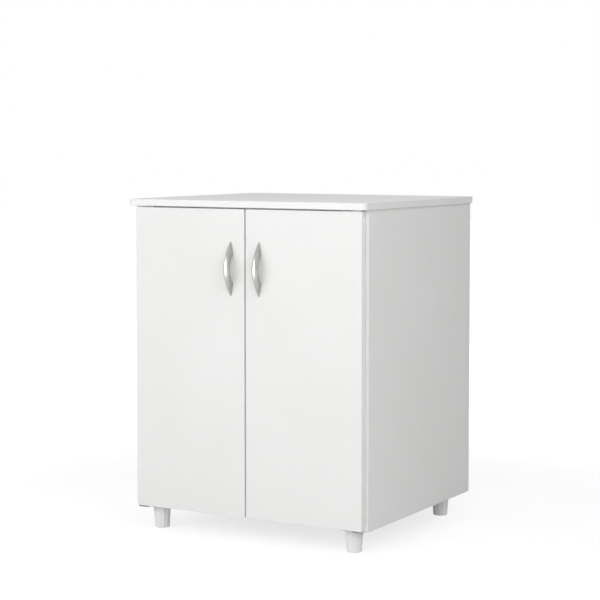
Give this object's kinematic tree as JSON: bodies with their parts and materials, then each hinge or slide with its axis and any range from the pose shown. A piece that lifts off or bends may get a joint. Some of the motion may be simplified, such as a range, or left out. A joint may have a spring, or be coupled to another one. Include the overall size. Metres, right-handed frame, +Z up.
{
  "type": "two-door cabinet on feet",
  "caption": "White two-door storage cabinet with an overhanging board top, pointed bow handles and short fluted feet, sized to carry a countertop appliance.",
  "frame": {"origin": "on the floor under the middle of the cabinet's overall box, handles included", "axes": "+Z up; the doors face -Y; +X is to the right of someone facing the doors"},
  "size_m": [0.6, 0.555, 0.745],
  "materials": {
    "white_melamine": "satin",
    "white_hardboard": "matte",
    "white_plastic": "satin",
    "satin_chrome": "satin",
    "plated_steel": "satin",
    "magnet_steel": "matte",
    "zinc": "satin",
    "nylon": "satin",
    "beech": "matte"
  },
  "bodies": {
    "cabinet": {"back_nails": "plated_steel", "back_panel": "white_hardboard", "bottom_panel": "white_melamine", "cabinet_leaf_screws": "plated_steel", "cam_bolts": "plated_steel", "cam_locks": "zinc", "catch_screws": "plated_steel", "dowels": "beech", "foot_screws": "plated_steel", "front_top_rail": "white_melamine", "left_back_foot": "white_plastic", "left_catch_housing": "white_plastic", "left_catch_magnet": "magnet_steel", "left_front_foot": "white_plastic", "left_lower_cabinet_leaf": "plated_steel", "left_lower_hinge_pin": "plated_steel", "left_pivot_washer": "nylon", "left_side_panel": "white_melamine", "left_upper_cabinet_leaf": "plated_steel", "left_upper_hinge_pin": "plated_steel", "rear_top_rail": "white_melamine", "right_back_foot": "white_plastic", "right_catch_housing": "white_plastic", "right_catch_magnet": "magnet_steel", "right_front_foot": "white_plastic", "right_lower_cabinet_leaf": "plated_steel", "right_lower_hinge_pin": "plated_steel", "right_pivot_washer": "nylon", "right_side_panel": "white_melamine", "right_upper_cabinet_leaf": "plated_steel", "right_upper_hinge_pin": "plated_steel", "shelf": "white_melamine", "shelf_pegs": "plated_steel", "top_panel": "white_melamine", "top_screws": "plated_steel"},
    "left_door_assembly": {"left_door": "white_melamine", "left_handle": "satin_chrome", "left_handle_screws": "plated_steel", "left_upper_door_leaf": "plated_steel", "left_lower_door_leaf": "plated_steel", "left_door_leaf_screws": "plated_steel", "left_strike_plate": "plated_steel", "left_strike_screw": "plated_steel"},
    "right_door_assembly": {"right_door": "white_melamine", "right_handle": "satin_chrome", "right_handle_screws": "plated_steel", "right_upper_door_leaf": "plated_steel", "right_lower_door_leaf": "plated_steel", "right_door_leaf_screws": "plated_steel", "right_strike_plate": "plated_steel", "right_strike_screw": "plated_steel"}
  },
  "joints": [
    {"name": "left_door_swing", "type": "hinge", "parent": "cabinet", "child": "left_door_assembly", "pos_m": [-0.281, -0.247, 0], "axis": [0, 0, -1], "range_deg": [0, 180]},
    {"name": "right_door_swing", "type": "hinge", "parent": "cabinet", "child": "right_door_assembly", "pos_m": [0.281, -0.247, 0], "axis": [0, 0, 1], "range_deg": [0, 180]}
  ]
}
